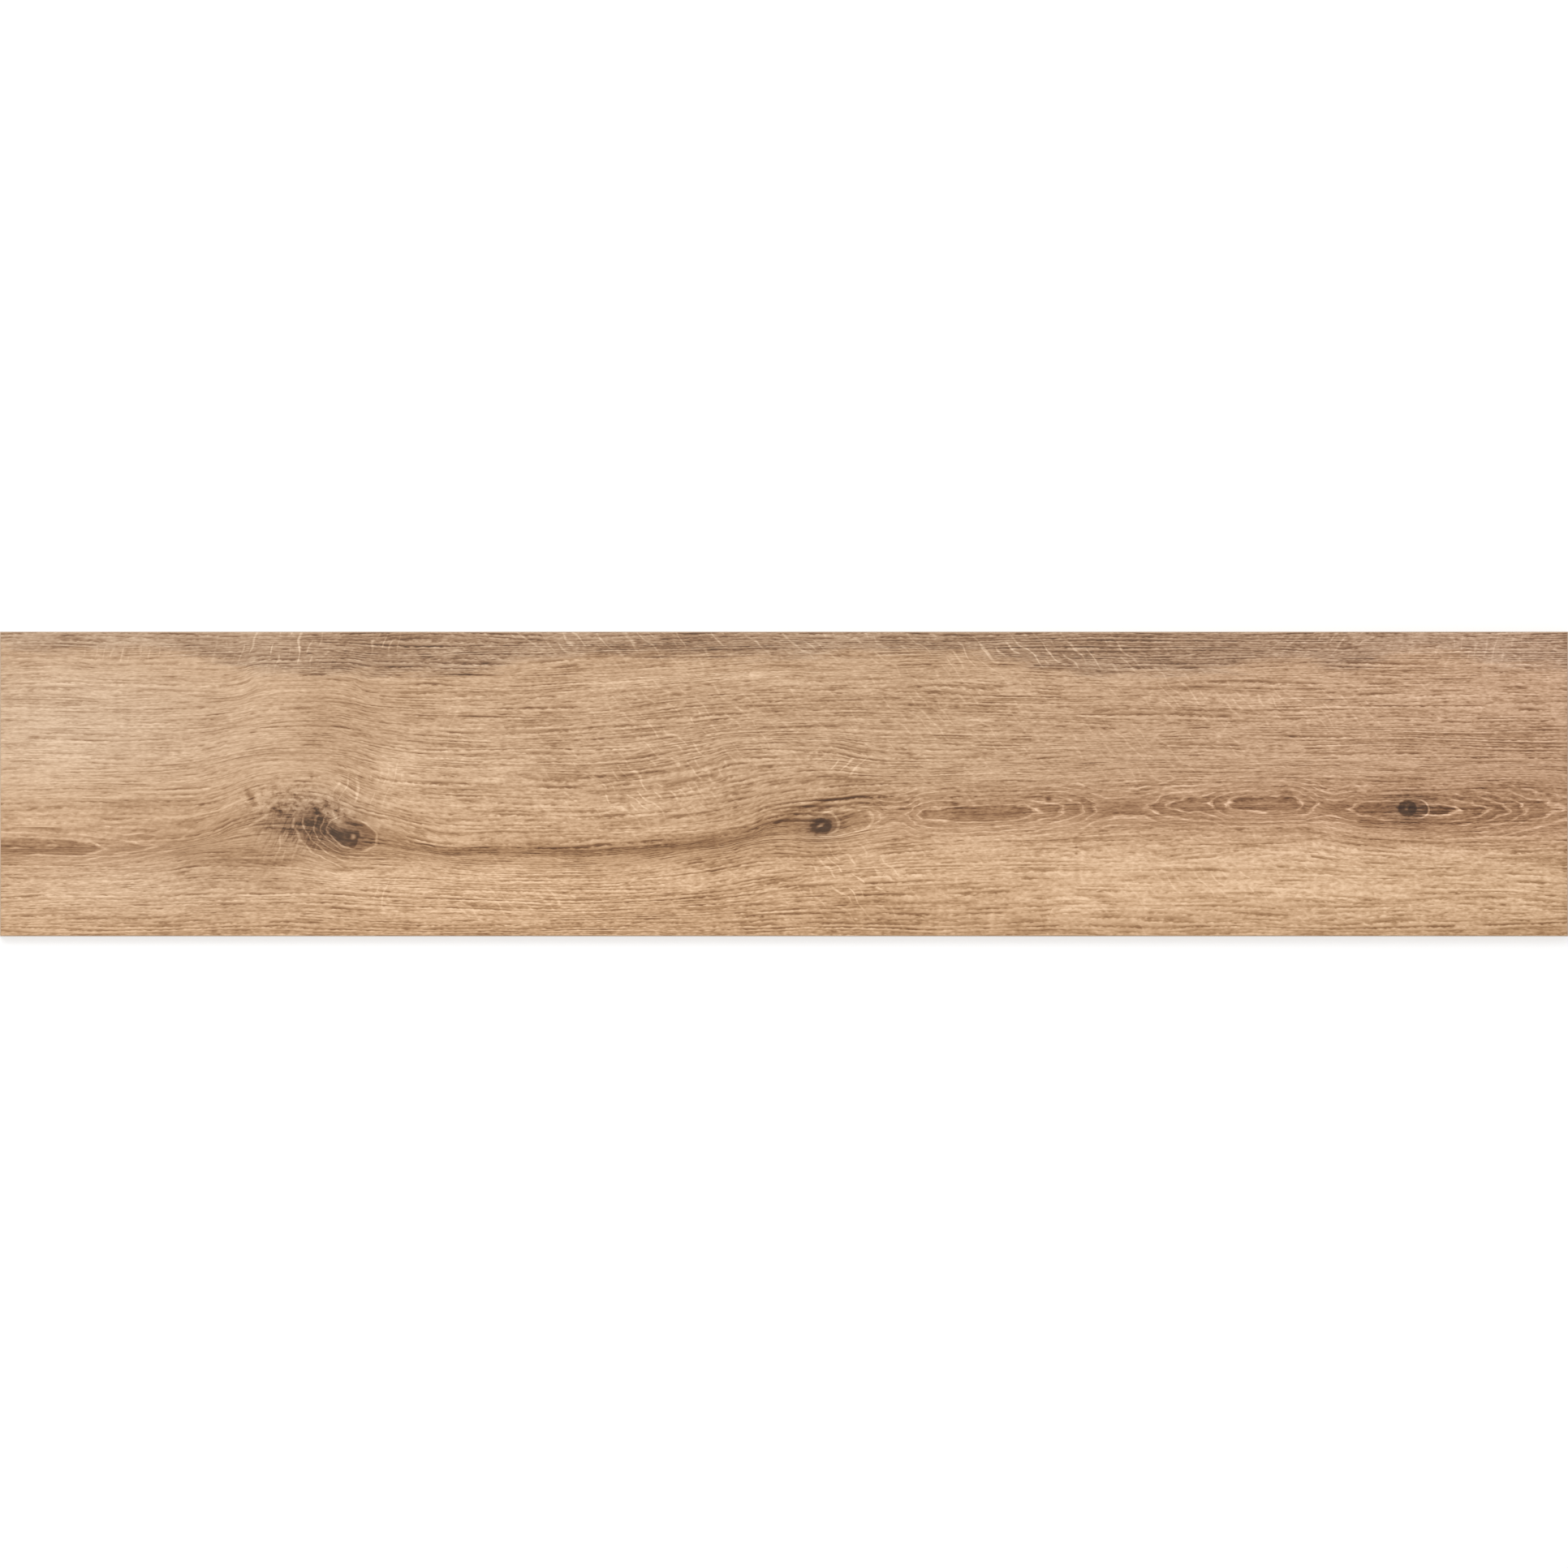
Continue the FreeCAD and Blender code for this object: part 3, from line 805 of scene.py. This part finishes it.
def fired_back():
    """The keyed back as the kiln leaves it: gritty, browned by the fire, with dusty rib tips, and
    painted shade down in its cells.
    """
    material, drawing, shader, position = tile_material("fired back")
    x, y, z = drawing.split(position)
    cloud = drawing.noise(x * 7, y * 9, detail=3.0)
    grit = drawing.noise(x * 1300, y * 1300, detail=1.0)
    rollers = drawing.noise(x * 2.5, y * 150, detail=1.0)
    dust = drawing.noise(x * 60, y * 240, detail=3.0, roughness=0.6)
    tone = cloud * 44 + grit * 26 + rollers * 10 + 166
    # White kiln wash comes off the rollers on to what touches them.
    touching = drawing.ramp(z, 0.00012, 0.00002) * drawing.ramp(dust + cloud * 0.4, -0.16, 0.14)
    tone = tone + touching * 44
    # Painted shade: the back is darker down in its cells.
    tone = tone - drawing.ramp(z, *PAINTED_CELL_SHADE) * 10
    colour = colour_ramp(drawing, tone / 255, PORCELAIN)
    drawing.feed(shader.inputs["Base Color"], colour)
    drawing.feed(shader.inputs["Roughness"], touching * 0.12 + grit * 0.2 + BACK_ROUGHNESS)
    bump(drawing, shader, grit + dust * 0.5, GRIT_BUMP)
    return material


def press_relief():
    """A geometry tree that maps the oak on the face and presses its grain in, downwards."""
    tree = bpy.data.node_groups.new("pressed relief", "GeometryNodeTree")
    tree.interface.new_socket("Tile", in_out="INPUT", socket_type="NodeSocketGeometry")
    tree.interface.new_socket("Tile", in_out="OUTPUT", socket_type="NodeSocketGeometry")
    drawing = Drawing(tree)
    geometry = Field(drawing, drawing.node("NodeGroupInput").outputs[0])
    end = drawing.node("NodeGroupOutput")
    position = Field(drawing, drawing.node("GeometryNodeInputPosition").outputs[0])
    x, y = place_on_print(drawing, position)
    values = map_face(drawing, x, y)
    for name, value in values.items():
        store = drawing.node("GeometryNodeStoreNamedAttribute")
        drawing.feed(store.inputs["Geometry"], geometry)
        drawing.feed(store.inputs["Name"], name)
        drawing.feed(store.inputs["Value"], value)
        geometry = Field(drawing, store.outputs[0])

    grooves = drawing.ramp(fibres(drawing, x, values["level"]), 0.3, -0.3)
    inside_x = drawing.ramp(drawing.absolute(x - PHOTO_MIDDLE), PHOTO_MIDDLE - 1, PHOTO_MIDDLE - 5)
    half_width = BOTTOM_ROW - PHOTO_MIDDLE
    inside_y = drawing.ramp(drawing.absolute(y - PHOTO_MIDDLE), half_width - 1, half_width - 4)
    _, _, z = drawing.split(position)
    on_face = drawing.math("GREATER_THAN", z, FACE_HEIGHT - ON_HEIGHT)
    shift = drawing.point(0.0, 0.0, grooves * inside_x * inside_y * -RELIEF_DEPTH)
    move = drawing.node("GeometryNodeSetPosition")
    drawing.feed(move.inputs["Geometry"], geometry)
    drawing.feed(move.inputs["Selection"], on_face)
    drawing.feed(move.inputs["Offset"], shift)
    tree.links.new(move.outputs[0], end.inputs[0])
    return tree


def unrolled(face, x, y, z):
    """The patch of the sheet that a corner of a face goes on, and where in it, in shares."""
    along, across = x / TILE_LENGTH + 0.5, y / TILE_WIDTH + 0.5
    if face.material_index == PRINT:
        if face.center.x < 0:
            return "left of the print", along * 2, across
        return "right of the print", along * 2 - 1, across
    if face.material_index == BACK:
        return "back", 1 - along, across
    from_end, from_edge = TILE_LENGTH / 2 - abs(x), TILE_WIDTH / 2 - abs(y)
    at_end = TILE_LENGTH / 2 - abs(face.center.x) < TILE_WIDTH / 2 - abs(face.center.y)
    inset = from_end if at_end else from_edge
    height = z + inset if z > FACE_HEIGHT / 2 else z - inset
    up = (height + BEVEL_ROOM) / (FACE_HEIGHT + BEVEL_ROOM * 2)
    if at_end:
        return ("left end", 1 - across, up) if x < 0 else ("right end", across, up)
    return ("front edge", along, up) if y < 0 else ("rear edge", 1 - along, up)


def lay_out(tile):
    """Unrolls the tile on a square sheet, giving most of it to the print."""
    sheet = tile.data.uv_layers.new(name="OFBake")
    for face in tile.data.polygons:
        for corner in face.loop_indices:
            spot = tile.data.vertices[tile.data.loops[corner].vertex_index].co
            patch, across, up = unrolled(face, *spot)
            left, foot, width, height = SHEET_PATCHES[patch]
            u, v = left + across * width, foot + up * height
            sheet.data[corner].uv = (u / SHEET_SIZE, v / SHEET_SIZE)


def deselect():
    bpy.ops.object.select_all(action="DESELECT")


def faces_where(tile, wanted):
    """Selects the faces that pass a test on their middle and normal, and stays in edit mode."""
    bpy.ops.object.mode_set(mode="EDIT")
    bpy.ops.mesh.select_mode(type="FACE")
    bpy.ops.mesh.select_all(action="DESELECT")
    bpy.ops.object.mode_set(mode="OBJECT")
    for face in tile.data.polygons:
        face.select = wanted(face.center, face.normal)
    bpy.ops.object.mode_set(mode="EDIT")


def make_tile():
    """The tile: the pressed slab with its keyed back, and a face fine enough to take the relief."""
    deselect()
    tile = bpy.data.objects.new("porcelain_plank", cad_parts["plank_tile"].data.copy())
    bpy.context.scene.collection.objects.link(tile)
    bpy.context.view_layer.objects.active = tile
    tile.select_set(True)
    bpy.ops.object.mode_set(mode="EDIT")
    bpy.ops.mesh.select_all(action="SELECT")
    bpy.ops.mesh.remove_doubles(threshold=SAME_POINT)
    bpy.ops.mesh.dissolve_limited(angle_limit=math.radians(SAME_PLANE_DEGREES))
    bpy.ops.object.mode_set(mode="OBJECT")
    faces_where(
        tile, lambda middle, normal: normal.z > FLAT and middle.z > FACE_HEIGHT - ON_HEIGHT
    )
    for cuts in FACE_CUTS:
        bpy.ops.mesh.subdivide(number_cuts=cuts)
    bpy.ops.object.mode_set(mode="OBJECT")

    relief = tile.modifiers.new("pressed relief", "NODES")
    relief.node_group = press_relief()
    bpy.ops.object.modifier_apply(modifier=relief.name)
    bpy.ops.object.shade_smooth_by_angle(angle=math.radians(SMOOTH_DEGREES))

    tile.data.materials.clear()
    for material in (printed_oak(), ground_porcelain(), fired_back()):
        tile.data.materials.append(material)
    for face in tile.data.polygons:
        x, y, _ = face.center
        rim = min(TILE_LENGTH / 2 - abs(x), TILE_WIDTH / 2 - abs(y))
        if face.normal.z > FLAT and face.center.z > FACE_HEIGHT - BEVEL_REACH:
            face.material_index = PRINT
        elif rim < BEVEL_REACH and abs(face.normal.z) < FLAT:
            face.material_index = GROUND
        else:
            face.material_index = BACK
    lay_out(tile)
    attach(tile, "root")
    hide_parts("plank_tile")


def lay_floor():
    """The pale floor that the tile lies on."""
    deselect()
    bpy.ops.mesh.primitive_plane_add(size=FLOOR_SIZE, location=(0, 0, 0))
    floor = bpy.context.object
    floor.name = "floor"
    material, drawing = empty_material("pale floor")
    paper = drawing.node("ShaderNodeBsdfDiffuse")
    drawing.feed(paper.inputs["Color"], FLOOR_COLOUR)
    glow = drawing.node("ShaderNodeEmission")
    seen = drawing.node("ShaderNodeLightPath")
    camera, glossy, through = (
        Field(drawing, seen.outputs[f"Is {kind} Ray"])
        for kind in ("Camera", "Glossy", "Transmission")
    )
    shows = drawing.greatest(drawing.greatest(camera, glossy), through)
    drawing.feed(glow.inputs["Strength"], shows * FLOOR_GLOW)
    both = drawing.node("ShaderNodeAddShader")
    output = drawing.node("ShaderNodeOutputMaterial")
    drawing.tree.links.new(paper.outputs[0], both.inputs[0])
    drawing.tree.links.new(glow.outputs[0], both.inputs[1])
    drawing.tree.links.new(both.outputs[0], output.inputs["Surface"])
    floor.data.materials.append(material)


def set_lights():
    """Soft, even studio light."""
    world = bpy.data.worlds.new("studio")
    bpy.context.scene.world = world
    world.use_nodes = True
    drawing = Drawing(world.node_tree)
    background = world.node_tree.nodes["Background"]
    drawing.feed(background.inputs["Color"], (1, 1, 1, 1))
    seen = drawing.node("ShaderNodeLightPath")
    camera_ray = Field(drawing, seen.outputs["Is Camera Ray"])
    strength = camera_ray * (WORLD_SEEN - WORLD_LIGHT) + WORLD_LIGHT
    drawing.feed(background.inputs["Strength"], strength)
    bpy.ops.object.light_add(type="AREA", location=LAMP_PLACE)
    lamp = bpy.context.object
    lamp.name = "soft box"
    lamp.data.shape = "RECTANGLE"
    lamp.data.size, lamp.data.size_y = LAMP_SIZE
    lamp.data.energy = LAMP_POWER
    lamp.rotation_euler = lamp.location.to_track_quat("Z", "Y").to_euler()


def set_camera():
    """Looks straight down on the tile, without perspective, as the photograph does."""
    camera = bpy.data.cameras.new("camera")
    camera.type = "ORTHO"
    camera.ortho_scale = TILE_LENGTH
    holder = bpy.data.objects.new("camera", camera)
    bpy.context.scene.collection.objects.link(holder)
    holder.location = (0, 0, CAMERA_HEIGHT)
    bpy.context.scene.camera = holder


make_tile()
lay_floor()
set_lights()
set_camera()
bpy.context.scene.view_settings.view_transform = "Standard"
